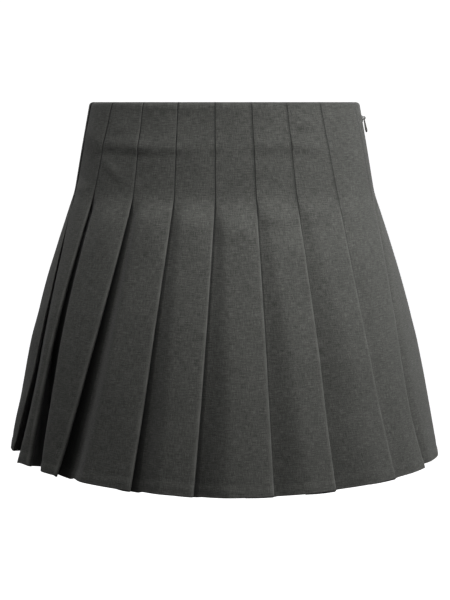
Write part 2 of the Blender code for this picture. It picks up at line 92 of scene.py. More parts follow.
# Pleats. Turns of the edge at four drops, then sizes at the hem: lie, how far the edge is out of the
# form; swell, how far its panel is out of it before the edge; sink, how far the cloth beside the edge
# lies in; depth, how far the inner fold reaches in; rise, the width over which the cloth comes out
# again; late, how late in that width it comes out; roll, the radius of the folded edge; tuck, how far
# the panel turns in towards the edge; low, how much lower the folded-back layer hangs; growth, how much
# of its opening is left to the last of its fall.
Pleat = namedtuple("Pleat", "top release middle hem lie swell sink depth rise late roll tuck low growth")
SIDE_PLEAT = Pleat(-78.0, -79.5, -71.0, -78.5, 0.0, 0.0, 1.5, 17.0, 24.0, 1.0, 1.1, 0.6, 0.0, 1.0)
FRONT_PLEATS = (
    Pleat(-53.4, -57.0, -59.4, -64.4, -0.5, 1.5, 24.0, 24.0, 30.0, 0.5, 2.8, 0.0, 0.5, 2.0),
    Pleat(-34.9, -35.0, -38.3, -50.2, 0.0, 0.0, 14.0, 15.0, 38.0, 1.0, 2.0, 1.6, 2.0, 0.75),
    Pleat(-19.0, -18.2, -19.6, -24.0, 0.0, 0.0, 10.0, 12.0, 30.0, 0.9, 1.7, 1.2, 1.5, 1.3),
    Pleat(-3.9, -3.3, -4.6, -7.5, 0.0, 0.0, 9.5, 11.5, 34.0, 0.9, 1.9, 1.4, 0.5, 1.3),
    Pleat(10.8, 11.3, 11.4, 12.2, 0.0, 0.0, 8.0, 9.5, 36.0, 0.9, 1.2, 1.2, 0.5, 1.2),
    Pleat(25.7, 26.8, 26.9, 29.2, 0.0, 0.0, 9.5, 10.5, 52.0, 0.75, 1.2, 1.0, 1.3, 1.1),
    Pleat(42.3, 45.9, 44.9, 50.7, 0.0, 0.0, 0.0, 6.5, 34.0, 0.9, 0.7, -0.8, 1.0, 1.0),
)
ZIP_PLEAT = Pleat(71.0, 74.6, 64.0, 67.0, 0.0, 0.0, 2.5, 10.0, 16.0, 0.9, 1.1, 0.4, 0.5, 1.8)
FIRST_BACK_PLEAT = Pleat(112.0, 110.0, 107.0, 105.5, 0.0, 0.0, 8.0, 10.5, 30.0, 0.9, 1.2, 1.2, 0.5, 1.2)
# The rest of the back's pleats, evenly spaced from the first one to the side pleat.
BackPleat = namedtuple("BackPleat", "lie sink depth rise roll tuck low")
BACK_PLEATS = (
    BackPleat(0.5, 6.5, 8.5, 27.0, 1.1, 1.4, 1.0),
    BackPleat(0.0, 8.5, 10.5, 31.0, 1.5, 1.7, 2.0),
    BackPleat(-0.5, 7.5, 9.5, 26.0, 1.2, 1.2, 0.5),
    BackPleat(0.5, 6.5, 8.5, 28.0, 1.0, 1.5, 1.2),
    BackPleat(0.0, 8.0, 10.0, 30.0, 1.6, 1.8, 0.6),
    BackPleat(0.5, 6.0, 8.0, 25.0, 1.1, 1.2, 1.5),
    BackPleat(0.0, 7.5, 9.5, 28.0, 1.3, 1.4, 0.8),
    BackPleat(-0.5, 9.0, 11.0, 32.0, 1.5, 1.7, 2.5),
    BackPleat(0.5, 8.0, 10.0, 28.0, 1.2, 1.5, 1.0),
)
BACK_LATE = 0.9
BACK_GROWTH = 1.3
COMMON_GROWTH = 1.2  # the growth that swell, tuck, low and the waves have at every pleat
FRONT_EDGES = 9  # the edges from the side pleat to the zip pleat
ZIP_HIGH = 3.5  # how much higher the cloth beside the zip pleat's edge hangs at the hem
SIDE_HIGH = 5.0  # the same for the back cloth at the side pleat's edge
SIDE_LOW = 5.0  # how much lower the front cloth beside that edge hangs

# Cloth.
CLOTH = 0.42
HEM_CLOTH = 1.0  # doubled where it is turned up
HEM_TURN = 30.0
TOP_TURN_IN = 3.6  # how far the top edge rolls in
TOP_TURN_DROP = 3.0
TOP_UNDER_DROP = 1.6  # how much lower the folded-away layers start at the top edge ...
TOP_UNDER_END = 14.0  # ... and the drop by which they have caught up

# A pleat's edge and the layers behind it.
ROLL_SEWN = 0.44  # radius of a folded edge where it is sewn down
ROLL_AT_RELEASE = 0.3  # share of its growth from there to the hem that it has where it comes free
INNER_OPEN = 0.65  # how much larger the inner fold's radius is at the hem
PRESSED_GAP = 0.08  # between the right sides of two sewn-down layers
PRESSED_IN = 0.7  # how much further in the far end of a folded-back layer lies
BACK_POWER = 0.85  # how late the folded-back layer goes in, at the least ...
BACK_POWER_PER_SINK = 0.08  # ... and per mm of the pleat's sink
UNDER_LOW = 0.7  # share of a pleat's low that all of its folded-away cloth has

# The panel that shows between two edges.
CLEAR_SEWN = 0.2  # how far past an edge the next panel starts where it is sewn down ...
CLEAR_FREE = 1.4  # ... and where it hangs free
CROWDING_SEWN = 1.45  # how much its samples crowd towards its start where it is sewn down ...
CROWDING_LOST = 0.35  # ... and how much less where it hangs free
STEP_SEWN = 30.0  # width over which it comes level again beside a sewn edge
STEP_FREE = 3.0  # the same where the pleats have just come free
STEP_MOST = 0.88  # the same at the most, as a share of its clear width
RISE_AT_RELEASE = 0.08  # share of a pleat's rise that it has where it comes free
RISE_POWER = 0.85
TURN_IN_FROM = 0.55  # share of its width where it starts to turn in towards the next edge
TURN_IN_POWER = 2.2
NOTCH_SHADE_WIDTH = 0.9  # of the painted shade on the cloth close beside an edge, where it is sewn down ...
NOTCH_SHADE_WIDER = 0.5  # ... and how much wider where it hangs free
NOTCH_SHADE_LOST = 0.45  # how much weaker the painted shade is there
LOW_REACH = 3.0  # width over which the panel is low beside an edge, and as much again per mm of low
SIDE_LOW_REACH = 0.9  # share of the panel's width over which the front cloth by the side pleat is low
RUB_AND_HIGHLIGHT_BESIDE = 0.7  # how rubbed it is next to an edge: paler as wear, and as a painted highlight on the edge's rim
RUB_AND_HIGHLIGHT_WIDTH = 0.7

# The cloth beside the zip seam.
SEAM_ROLL = 1.1  # radius of its turn at the seam
SEAM_ROLL_SHARE = 0.85  # share of that turn which is made
SEAM_STEPS = np.array((0.0, 0.15, 0.35, 0.6, 0.9))  # its closest samples, from the seam's edge
SEAM_STEPS_END = 1.2
ZIP_STEP_WIDTH = 6.0  # of the step that the zip pleat is before it folds
ZIP_STEP_DEPTH = 1.4
ZIP_FOLD_DROP = 8.0  # how far below the stitching it starts to fold
ZIP_FOLD_RAMP = 12.0  # how much longer it takes to fold than a sewn pleat takes to come free
ZIP_RISE_AT_RELEASE = 0.3
ZIP_STEP_MOST = 0.85
LAP_DROP = 2.0  # how far below the coil the front cloth starts to lap behind the back cloth
LAP_RAMP = 6.0
LAP_OVER = np.array((0.05, 0.25, 1.2, 5.0))  # how far the lap's samples reach past the seam ...
LAP_IN = np.array((0.12, 0.5, 0.72, 0.8))  # ... and how far in they lie
LAP_UNDER = 0.4

# Zip coil.
COIL_TOP = 22.0
COIL_END = 157.0
COIL_PITCH = 1.3
COIL_IN = 4.3  # from the form to its middle
COIL_ASIDE = 0.95  # from the seam to its middle
COIL_HALF_WIDTH = 1.25
COIL_HALF_THICKNESS = 0.75
COIL_WIRE = 0.27  # radius
COIL_WIRE_SIDES = 5
COIL_TURN_STEPS = 9

# Creases: where on the cloth their crest is, how long along their own line, how far the cloth runs up to
# the crest and falls away below it, and how far out (+) or in (-). Slant is how much the line runs
# downhill towards +X, in degrees.
Crease = namedtuple("Crease", "turn drop length above below depth slant")
FRONT_CREASES = (
    Crease(-44.0, 42.0, 44.0, 10.0, 3.2, 1.5, 4.0),
    Crease(-27.0, 43.5, 34.0, 10.0, 3.2, 1.5, 2.0),
    Crease(-9.0, 42.0, 30.0, 10.0, 7.0, 1.0, -4.0),
    Crease(20.0, 41.5, 34.0, 9.0, 3.6, 1.2, -2.0),
    Crease(36.0, 43.0, 26.0, 8.0, 4.0, 0.8, 5.0),
    Crease(-59.0, 47.0, 12.0, 6.0, 3.0, 0.6, -8.0),
    Crease(-46.0, 25.0, 14.0, 7.0, 3.0, 0.9, 10.0),
    Crease(-26.0, 4.0, 34.0, 3.5, 4.5, 0.9, 0.0),
    Crease(-6.0, 5.0, 34.0, 3.5, 4.5, 0.7, 0.0),
    Crease(33.0, 20.5, 12.0, 6.0, 3.4, 0.8, -10.0),
    Crease(17.0, 8.0, 16.0, 4.0, 5.0, 0.5, 4.0),
    Crease(-50.0, 60.0, 20.0, 4.0, 3.0, 0.8, 38.0),
    Crease(-44.0, 68.0, 18.0, 4.0, 3.0, 0.7, 34.0),
    Crease(-68.0, 34.0, 30.0, 16.0, 10.0, 1.2, 6.0),
    Crease(-69.0, 84.0, 30.0, 6.0, 60.0, 1.8, 0.0),
    Crease(-28.0, 55.0, 18.0, 8.0, 5.0, 0.5, -8.0),
    Crease(-12.0, 58.0, 22.0, 8.0, 5.0, 0.5, 8.0),
    Crease(13.0, 62.0, 26.0, 12.0, 5.0, 0.6, 6.0),
    Crease(-25.5, 112.0, 19.0, 17.0, 24.0, 3.4, 4.0),
    Crease(-11.0, 110.0, 19.0, 15.0, 22.0, 3.1, 6.0),
    Crease(3.0, 115.0, 20.0, 16.0, 14.0, 3.4, -4.0),
    Crease(17.0, 104.0, 18.0, 14.0, 9.0, 1.9, 4.0),
    Crease(34.0, 103.0, 22.0, 13.0, 10.0, 1.3, -6.0),
    Crease(-44.0, 112.0, 18.0, 15.0, 30.0, 2.4, 4.0),
    Crease(24.0, 136.0, 16.0, 10.0, 12.0, 0.8, -8.0),
    Crease(-46.0, 300.0, 26.0, 9.0, 14.0, 0.6, 8.0),
    Crease(-14.0, 262.0, 22.0, 16.0, 22.0, 0.5, -10.0),
    Crease(40.0, 240.0, 34.0, 14.0, 24.0, 0.6, 8.0),
    Crease(62.0, 205.0, 26.0, 12.0, 20.0, 0.7, 10.0),
)
BACK_CREASES = (
    Crease(124.0, 43.0, 34.0, 10.0, 3.4, 1.2, 4.0),
    Crease(143.0, 45.0, 30.0, 9.0, 4.0, 1.0, -3.0),
    Crease(164.0, 41.0, 34.0, 10.0, 3.6, 1.2, -4.0),
    Crease(188.0, 43.0, 32.0, 9.0, 4.5, 0.9, 3.0),
    Crease(208.0, 44.0, 32.0, 10.0, 3.6, 1.3, 3.0),
    Crease(236.0, 41.0, 30.0, 9.0, 3.8, 1.0, -6.0),
    Crease(148.0, 22.0, 12.0, 6.0, 3.2, 0.8, 12.0),
    Crease(213.0, 20.0, 12.0, 6.0, 3.2, 0.7, -10.0),
    Crease(176.0, 5.0, 34.0, 3.5, 4.5, 0.7, 0.0),
    Crease(200.0, 4.0, 26.0, 3.5, 4.5, 0.6, 0.0),
    Crease(240.0, 66.0, 18.0, 4.0, 3.0, 0.7, -38.0),
    Crease(118.0, 66.0, 18.0, 4.0, 3.0, 0.7, 36.0),
    Crease(196.0, 60.0, 24.0, 10.0, 5.0, 0.5, 6.0),
    Crease(134.0, 108.0, 18.0, 15.0, 18.0, 1.7, 6.0),
    Crease(152.0, 112.0, 18.0, 15.0, 22.0, 2.1, 4.0),
    Crease(169.0, 110.0, 18.0, 15.0, 18.0, 2.2, -4.0),
    Crease(186.0, 113.0, 18.0, 16.0, 20.0, 2.2, 6.0),
    Crease(204.0, 107.0, 18.0, 14.0, 12.0, 1.8, -5.0),
    Crease(222.0, 110.0, 20.0, 14.0, 18.0, 1.8, 4.0),
    Crease(160.0, 262.0, 24.0, 14.0, 22.0, 0.6, -8.0),
    Crease(212.0, 284.0, 26.0, 12.0, 20.0, 0.6, 8.0),
)
CREASE_REACH = 0.6  # share of its length, from the middle to where a crease has faded to about a third
CREASE_UNDER = 0.35  # share of a crease that the folded-away layers have
WAVES = (0.30, 0.22, 0.25)  # heights of the free cloth's waves: slanting, short ones round, and down
HEM_CREASE_UP = 12.0
HEM_CREASE_WAVE = 1.5
HEM_CREASE_DEPTH = 0.25
HEM_CREASE_WIDTH = 2.2
HEM_RIDGE_DROP = 6.0  # from the crease down to the faint ridge below it
HEM_RIDGE_WIDTH = 4.0

# How the colour changes: rubbed paler, partly as wear and partly as a painted highlight along the edges, and
# painted shade where the cloth is folded away, beside the edges and along the top edge.
PRESSED_TURN = -30.0  # from here towards +X the pressed edges sink in and get painted shade, not the rubbed highlight ...
PRESSED_TURNS = 45.0  # ... fully so after this many degrees
# painted shade on and beside those pressed edges
PRESSED_NOTCH_SHADE = 2.0
PRESSED_EDGE_SHADE = 0.75
TOP_SHADE = 0.35
TOP_SHADE_DROP = 1.2
TOP_SHADE_WIDTH = 1.4
# share of the rubbed paleness and painted highlight that is left where the pleats are sewn down
RUB_AND_HIGHLIGHT_SEWN = 0.55
RUB_AND_HIGHLIGHT_EVEN = 0.75  # the rest of the rubbing and its painted highlight comes and goes along an edge
HEM_RUB = 0.6
HEM_RUB_WIDTH = 1.6
WEAVE_STEP = 61.0  # how far the weave is shifted from one pleat to the next

# Samples along one pleat, and down the cloth.
PANEL_STEPS = 24
BACK_PANEL_STEPS = 19
ZIP_PANEL_STEPS = 12
SEAM_PANEL_STEPS = 16
ROLL_STEPS = 7
RETURN_STEPS = 4
INNER_STEPS = 4
UNDER_STEPS = 4
TOP_STEPS = 6
ROW_SPANS = (  # from, to, rows
    (TOP_TURN_DROP, 78.0, 20),
    (78.0, 116.0, 17),
    (116.0, 330.0, 56),
    (330.0, 350.0, 8),
    (350.0, LENGTH, 4),
)


def row_drops():
    """(drop, angle of the top edge's roll) of every row of the cloth."""
    rows = []
    for i in range(TOP_STEPS):
        angle = math.pi / 2.0 * i / TOP_STEPS
        rows.append((TOP_TURN_DROP * (1.0 - math.cos(angle)), angle))
    for start, end, count in ROW_SPANS:
        for i in range(count):
            rows.append((start + (end - start) * i / count, math.pi / 2.0))
    rows.append((LENGTH, math.pi / 2.0))
    return rows


# ---------------------------------------------------------------- the form


def ease(share):
    share = np.clip(share, 0.0, 1.0)
    return share * share * (3.0 - 2.0 * share)


def bell(distance, width):
    """1 at no distance, and nearly 0 at twice the width."""
    return np.exp(-((distance / width) ** 2))


def smooth_girth(column, drop):
    """The table's value at this drop, with its corners rounded."""
    drops = np.array([row.drop for row in GIRTHS], dtype=float)
    values = np.array([getattr(row, column) for row in GIRTHS])
    first = (values[1] - values[0]) / (drops[1] - drops[0])
    last = (values[-1] - values[-2]) / (drops[-1] - drops[-2])
    drops = np.concatenate(([-GIRTH_MARGIN], drops, [LENGTH + GIRTH_MARGIN]))
    above, below = values[0] - GIRTH_MARGIN * first, values[-1] + GIRTH_MARGIN * last
    values = np.concatenate(([above], values, [below]))
    near = np.linspace(-GIRTH_NEAR, GIRTH_NEAR, GIRTH_SAMPLES)
    weights = bell(near, GIRTH_SOFTNESS)
    return float((np.interp(drop + near, drops, values) * weights).sum() / weights.sum())


class Ring:
    """One level section of the form, on which places are given by their distance round from centre front."""

    def __init__(self, drop):
        turns = np.radians(np.linspace(*RING_TURNS))
        slim = 1.0 - DIAGONAL_SLIM * falling(drop) * np.sin(2.0 * turns) ** 2
        self.turns = turns
        self.x = smooth_girth("half_width", drop) * np.sin(turns) * slim
        self.y = -smooth_girth("half_depth", drop) * np.cos(turns) * slim
        way = np.concatenate(([0.0], np.cumsum(np.hypot(np.diff(self.x), np.diff(self.y)))))
        self.way = way - np.interp(0.0, turns, way)
        slope_x, slope_y = np.gradient(self.x, self.way), np.gradient(self.y, self.way)
        length = np.hypot(slope_x, slope_y)
        self.normal_x, self.normal_y = slope_y / length, -slope_x / length

    def way_at(self, turn_deg):
        return float(np.interp(math.radians(turn_deg), self.turns, self.way))

    def turn_at(self, way):
        return np.degrees(np.interp(way, self.way, self.turns))

    def points(self, way, out):
        x = np.interp(way, self.way, self.x) + out * np.interp(way, self.way, self.normal_x)
        y = np.interp(way, self.way, self.y) + out * np.interp(way, self.way, self.normal_y)
        return x, y


def turn_of(pleat, drop):
    """The pleat edge's turn: straight while sewn down, then one smooth curve to the hem."""
    if drop <= DROP_RELEASE:
        return pleat.top + (pleat.release - pleat.top) * drop / DROP_RELEASE
    d0, d1, d2 = DROP_RELEASE, DROP_MIDDLE, LENGTH
    first = pleat.release * (drop - d1) * (drop - d2) / ((d0 - d1) * (d0 - d2))
    second = pleat.middle * (drop - d0) * (drop - d2) / ((d1 - d0) * (d1 - d2))
    third = pleat.hem * (drop - d0) * (drop - d1) / ((d2 - d0) * (d2 - d1))
    return first + second + third


def freed(drop):
    """0 while the pleats are sewn down, 1 where they hang free."""
    return float(ease((drop - STITCHED) / OPENING_RAMP))


def falling(drop):
    """0 at the end of the stitching, 1 at the hem."""
    return max(0.0, (drop - STITCHED) / (LENGTH - STITCHED))


def opened(drop, growth=COMMON_GROWTH):
    """How much of its shape at the hem a pleat has at this drop."""
    return freed(drop) * (OPEN_AT_RELEASE + (1.0 - OPEN_AT_RELEASE) * falling(drop) ** growth)


def pleat_ways(ring, drop):
    """(pleat, distance round) of every pleat edge, from the right hip round the front and back to it."""
    ways = [(pleat, ring.way_at(turn_of(pleat, drop))) for pleat in (SIDE_PLEAT, *FRONT_PLEATS, ZIP_PLEAT)]
    first = ring.way_at(turn_of(FIRST_BACK_PLEAT, drop))
    last = ring.way_at(turn_of(SIDE_PLEAT, drop) + 360.0)
    ways.append((FIRST_BACK_PLEAT, first))
    for i, row in enumerate(BACK_PLEATS):
        pleat = Pleat(0, 0, 0, 0, swell=0, late=BACK_LATE, growth=BACK_GROWTH, **row._asdict())
        ways.append((pleat, first + (last - first) * (i + 1) / (len(BACK_PLEATS) + 1)))
    ways.append((SIDE_PLEAT, last))
    return ways


# ---------------------------------------------------------------- one row of the cloth

# A pleat's sizes at one drop: how wide its folded-back layer is, how far out its edge is, the radii of the
# edge's roll and of the inner fold, how far in that fold lies, and how far out the cloth beside the edge is.
Fold = namedtuple("Fold", "underlay lie roll inner depth beside")


def part(way, out, under, low, edge, rub_and_highlight=0.0):
    """Samples of a row: distance round, out, how deep it is folded away (0 shows, 1 is under a fold), which
    also sets its painted shade, how much lower it hangs, which pleat edge it is measured from, and how rubbed
    it is, as wear and painted highlight."""
    way = np.atleast_1d(np.asarray(way, dtype=float))
    columns = [way]
    for value in (out, under, low, edge, rub_and_highlight):
        columns.append(np.broadcast_to(np.asarray(value, dtype=float), way.shape).copy())
    return np.array(columns)


def roll_radius(pleat, drop):
    share = freed(drop) * (ROLL_AT_RELEASE + (1.0 - ROLL_AT_RELEASE) * falling(drop))
    return ROLL_SEWN + (pleat.roll - ROLL_SEWN) * share


def fold_sizes(pleat, drop):
    share = opened(drop, pleat.growth)
    roll = roll_radius(pleat, drop)
    depth = pleat.depth * share
    length = UNDERLAY_TOP + (UNDERLAY_HEM - UNDERLAY_TOP) * falling(drop)
    inner = PRESSED_GAP / 2.0 + INNER_OPEN * share
    beside = -(2.0 * roll + 2.0 * inner) - pleat.sink * share
    return Fold(math.sqrt(length**2 - depth**2), pleat.lie * share, roll, inner, depth, beside)


def clear_of_edge(drop):
    """How far past an edge the next panel starts."""
    return CLEAR_SEWN + (CLEAR_FREE - CLEAR_SEWN) * freed(drop)


def turned_in(share):
    """0 over the first part of a panel's width, rising to 1 at the next edge."""
    return np.clip((share - TURN_IN_FROM) / (1.0 - TURN_IN_FROM), 0.0, 1.0) ** TURN_IN_POWER


def panel(way, next_way, pleat, next_pleat, drop, edge, steps):
    """The panel that shows between two edges, from beside one to the top of the next one's roll."""
    free, share, fall = freed(drop), opened(drop), falling(drop)
    beside = fold_sizes(pleat, drop).beside
    next_size = fold_sizes(next_pleat, drop)
    start, end = way + clear_of_edge(drop), next_way - next_size.roll
    clear = end - start
    past = clear * np.linspace(0.0, 1.0, steps) ** (CROWDING_SEWN - CROWDING_LOST * free)
    rise_share = RISE_AT_RELEASE + (1.0 - RISE_AT_RELEASE) * fall**RISE_POWER
    wide = STEP_FREE + (pleat.rise - STEP_FREE) * rise_share
    reach = min(STEP_SEWN + (wide - STEP_SEWN) * free, STEP_MOST * clear)
    crown = next_pleat.swell * share
    outs = crown + (beside - crown) * (1.0 - ease((past / reach) ** pleat.late))
    tuck = next_pleat.tuck * share + crown - next_size.lie
    outs = outs - tuck * turned_in(past / clear)
    # painted shade on the cloth close beside an edge, put in the under column
    notch_shade = (1.0 - NOTCH_SHADE_LOST * free) * np.clip(1.0 - past / (NOTCH_SHADE_WIDTH + NOTCH_SHADE_WIDER * free), 0.0, 1.0)
    low = pleat.low * share * (1.0 - ease(past / (LOW_REACH * pleat.low + LOW_REACH)))
    if pleat is SIDE_PLEAT:
        low = low + SIDE_LOW * fall**2 * (1.0 - ease(past / (SIDE_LOW_REACH * clear)))
    if next_pleat is SIDE_PLEAT:
        low = low - SIDE_HIGH * fall**2 * ease(past / clear)
    # the cloth just before the next edge is rubbed paler, as wear and as a painted highlight
    return part(start + past, outs, notch_shade, low, edge, RUB_AND_HIGHLIGHT_BESIDE * bell(clear - past, RUB_AND_HIGHLIGHT_WIDTH))


def fold(way, pleat, drop, edge):
    """The rolled edge, the layer folded back behind it, the inner fold and the layer that comes out again."""
    share = opened(drop)
    size = fold_sizes(pleat, drop)
    top, low = size.lie - pleat.tuck * share, pleat.low * share
    near, near_out = way - size.roll, top - 2.0 * size.roll
    far, far_out = way - size.underlay + size.inner, -2.0 * size.roll - size.depth - PRESSED_IN
    angles = np.linspace(math.pi / 2.0, -math.pi / 2.0, ROLL_STEPS + 2)[1:-1]
    # the roll is rubbed paler on its outside, as wear and painted highlight, and gets painted shade as it
    # turns under
    around = part(
        near + size.roll * np.cos(angles),
        top - size.roll + size.roll * np.sin(angles),
        ease(np.linspace(0.1, 1.0, ROLL_STEPS)),
        low * np.linspace(0.1, 0.6, ROLL_STEPS),
        edge,
        1.0 - ease(np.linspace(0.0, 1.15, ROLL_STEPS)),
    )
    # the layers behind the edge are all under 1, so they get full painted shade
    back = np.linspace(0.0, 1.0, RETURN_STEPS)
    backs = part(
        near + (far - near) * back,
        near_out + (far_out - near_out) * back ** max(BACK_POWER, BACK_POWER_PER_SINK * pleat.sink),
        1.0,
        low * (UNDER_LOW + (1.0 - UNDER_LOW) * np.sin(math.pi * back)),
        edge,
    )
    angles = np.linspace(math.pi / 2.0, 1.5 * math.pi, INNER_STEPS + 2)[1:-1]
    inners = part(
        far + size.inner * np.cos(angles),
        far_out - size.inner + size.inner * np.sin(angles),
        1.0,
        low * UNDER_LOW,
        edge,
    )
    forth = np.linspace(0.0, 1.0, UNDER_STEPS + 1)[:-1]
    from_out = far_out - 2.0 * size.inner
    unders = part(
        far + (way + clear_of_edge(drop) - far) * forth,
        from_out + (size.beside - from_out) * (ease(forth) + forth) / 2.0,
        1.0,
        low * (UNDER_LOW + (1.0 - UNDER_LOW) * forth),
        np.where(forth < 0.5, edge, edge + 1),
    )
    return np.hstack((around, backs, inners, unders))


def half_fold(way, drop, edge, first):
    """The side pleat's fold on one side of the seam that is hidden halfway along the folded-back layer."""
    whole = fold(way, SIDE_PLEAT, drop, edge)
    size = fold_sizes(SIDE_PLEAT, drop)
    top = -SIDE_PLEAT.tuck * opened(drop)
    near, far = way - size.roll, way - size.underlay + size.inner
    seam = (near + far) / 2.0 + (SEAM_GAP if first else -SEAM_GAP) / 2.0
    share = (near - seam) / (near - far)
    out = top - 2.0 * size.roll + (-size.depth - PRESSED_IN - top) * share**BACK_POWER
    low = (-SIDE_HIGH if first else SIDE_LOW) * falling(drop) ** 2
    whole[3] = low
    end = part(seam, out, 1.0, low, edge)
    kept = ROLL_STEPS + RETURN_STEPS // 2
    return np.hstack((whole[:, :kept], end) if first else (end, whole[:, kept:]))


def growing_fold(way, drop, edge):
    """The pleat by the zip: it isn't sewn down, so flat cloth turns into a step and then into a fold."""
    full = fold(way, ZIP_PLEAT, drop, edge)
    along = np.linspace(0.0, 1.0, full.shape[1])
    flat = way - ROLL_SEWN + along * ZIP_STEP_WIDTH
    step = -ZIP_STEP_DEPTH * ease(along) * freed(drop)
    grown = float(ease((drop - STITCHED - ZIP_FOLD_DROP) / (OPENING_RAMP + ZIP_FOLD_RAMP)))
    full[0] = flat + (full[0] - flat) * grown
    full[1] = step + (full[1] - step) * grown
    full[2:4] *= grown
    return full


def seam_round(ways, seam):
    """How far the cloth turns in beside the zip seam."""
    gap = np.clip(SEAM_ROLL - np.abs(seam - ways), 0.0, SEAM_ROLL)
    return -(SEAM_ROLL - np.sqrt(SEAM_ROLL**2 - gap**2)) * SEAM_ROLL_SHARE


def pleated(ways, drop, first_edge, steps, last_pleat):
    """The panels between these edges, each followed by its pleat's fold, except for the last pleat's."""
    parts = []
    pairs = zip(ways, ways[1:])
    for edge, ((pleat, way), (next_pleat, next_way)) in enumerate(pairs, first_edge):
        parts.append(panel(way, next_way, pleat, next_pleat, drop, edge, steps))
        if next_pleat is not last_pleat:
            parts.append(fold(next_way, next_pleat, drop, edge))
    return parts


def front_row(ring, drop):
    ways = pleat_ways(ring, drop)[:FRONT_EDGES]
    seam = ring.way_at(SEAM_TURN)
    end = seam - SEAM_GAP / 2.0
    parts = [half_fold(ways[0][1], drop, 0, False)]
    parts += pleated(ways, drop, 1, PANEL_STEPS, ZIP_PLEAT)
    parts.append(growing_fold(ways[-1][1], drop, len(ways) - 1))
    start, start_out = parts[-1][:2, -1]
    spread = np.linspace(0.0, 1.0, ZIP_PANEL_STEPS + 1)[1:]
    on = np.concatenate((start + (end - SEAM_STEPS_END - start) * spread, end - SEAM_STEPS[::-1]))
    rise_share = ZIP_RISE_AT_RELEASE + (1.0 - ZIP_RISE_AT_RELEASE) * falling(drop)
    reach = min(ZIP_PLEAT.rise * rise_share, ZIP_STEP_MOST * (end - start))
    outs = start_out * (1.0 - ease((on - start) / reach)) + seam_round(on, seam)
    high = ZIP_HIGH * falling(drop) ** 2 * (1.0 - ease((on - start) / (end - start)))
    parts.append(part(on, outs, 0.0, -high, len(ways)))
    lap = float(ease((drop - COIL_END - LAP_DROP) / LAP_RAMP))
    parts.append(part(end + LAP_OVER * lap, parts[-1][1, -1] - LAP_IN * lap, LAP_UNDER, 0.0, len(ways)))
    return np.hstack(parts)


def back_row(ring, drop):
    ways = pleat_ways(ring, drop)[FRONT_EDGES:]
    seam = ring.way_at(SEAM_TURN)
    start = seam + SEAM_GAP / 2.0
    first_pleat, first_way = ways[0]
    size = fold_sizes(first_pleat, drop)
    clear = first_way - size.roll - start
    spread = np.linspace(0.0, 1.0, SEAM_PANEL_STEPS)
    past = np.concatenate((SEAM_STEPS, SEAM_STEPS_END + (clear - SEAM_STEPS_END) * spread))
    tuck = first_pleat.tuck * opened(drop) - size.lie
    outs = seam_round(start + past, seam) - tuck * turned_in(past / clear)
    parts = [part(start + past, outs, 0.0, 0.0, 1), fold(first_way, first_pleat, drop, 1)]
    parts += pleated(ways, drop, 2, BACK_PANEL_STEPS, SIDE_PLEAT)
    parts.append(half_fold(ways[-1][1], drop, len(ways), True))
    return np.hstack(parts)


# ---------------------------------------------------------------- creases


def crease_lift(creases, turns, drop, turn_way):
    """Out or in of the soft ridges and troughs. A degree's turn is turn_way long."""
    lift = np.zeros_like(turns)
    for crease in creases:
        across = (turns - crease.turn) * turn_way
        down = drop - crease.drop
        slant = math.radians(crease.slant)
        along = across * math.cos(slant) + down * math.sin(slant)
        aside = down * math.cos(slant) - across * math.sin(slant)
        width = np.where(aside < 0.0, crease.above, crease.below)
        fade = np.exp(-((along / (CREASE_REACH * crease.length)) ** 4))
        lift += crease.depth * bell(aside, width) * fade
    return lift


def hang_waves(ways, drop):
    """The free cloth's faint, uneven waves."""
    slanting = WAVES[0] * np.sin(ways / 17.0 + drop / 61.0 + 1.3 * np.sin(drop / 47.0))
    short = WAVES[1] * np.sin(ways / 9.3 - drop / 37.0 + 0.7 * np.sin(ways / 23.0))
    down = WAVES[2] * np.sin(drop / 21.0 + ways / 31.0 + 1.1 * np.sin(ways / 14.0))
    return (slanting + short + down) * opened(drop)


def hem_crease(ways, drop):
    """The pressed line above the hem, with a faint ridge below it."""
    below = drop - (LENGTH - HEM_CREASE_UP + HEM_CREASE_WAVE * np.sin(ways / 37.0))
    return HEM_CREASE_DEPTH * (bell(below - HEM_RIDGE_DROP, HEM_RIDGE_WIDTH) - bell(below, HEM_CREASE_WIDTH))


# ---------------------------------------------------------------- cloth


def make_mesh_object(name, verts, faces):
    data = bpy.data.meshes.new(name)
    data.from_pydata([tuple(v) for v in verts], [], faces)
    data.shade_smooth()
    made = bpy.data.objects.new(name, data)
    bpy.context.scene.collection.objects.link(made)
    return made


def outs_of_row(ring, drop, angle, row, creases):
    """How far out the row's samples are, with the creases, the waves and the top edge's roll."""
    ways, outs, under = row[:3]
    shows = 1.0 - under
    turn_way = (ring.way_at(SEAM_TURN + 10.0) - ring.way_at(SEAM_TURN - 10.0)) / 20.0
    lift = crease_lift(creases, ring.turn_at(ways), drop, turn_way)
    outs = outs + lift * (CREASE_UNDER + (1.0 - CREASE_UNDER) * shows)
    outs = outs + hang_waves(ways, drop) + hem_crease(ways, drop)
    return outs - TOP_TURN_IN * (1.0 - math.sin(angle)) * ease(shows)


def points_of_row(ring, drop, row, outs):
    ways, _, under, low = row[:4]
    x, y = ring.points(ways, outs)
    drops = drop + TOP_UNDER_DROP * ease(under) * max(0.0, 1.0 - drop / TOP_UNDER_END)
    hitch = SIDE_HITCH * np.maximum(0.0, -np.sin(np.arctan2(x, -y))) * drop / LENGTH
    return np.stack((x, y, hitch - drops + HANG * outs * falling(drop) - low), axis=1)


def threads_of_row(drop, row, outs):
    """Where the row's samples are in the weave, which starts anew at each pleat's edge."""
    ways, edge = row[0], row[4]
    steps = np.hypot(np.diff(ways), np.diff(outs))
    length = np.concatenate(([0.0], np.cumsum(steps)))
    across = np.zeros_like(length)
    for number in np.unique(edge):
        members = np.flatnonzero(edge == number)
        near = members[np.argmax(ways[members])]
        across[members] = length[members] - length[near] + WEAVE_STEP * number
    return np.stack((across, np.full_like(across, drop)), axis=1)


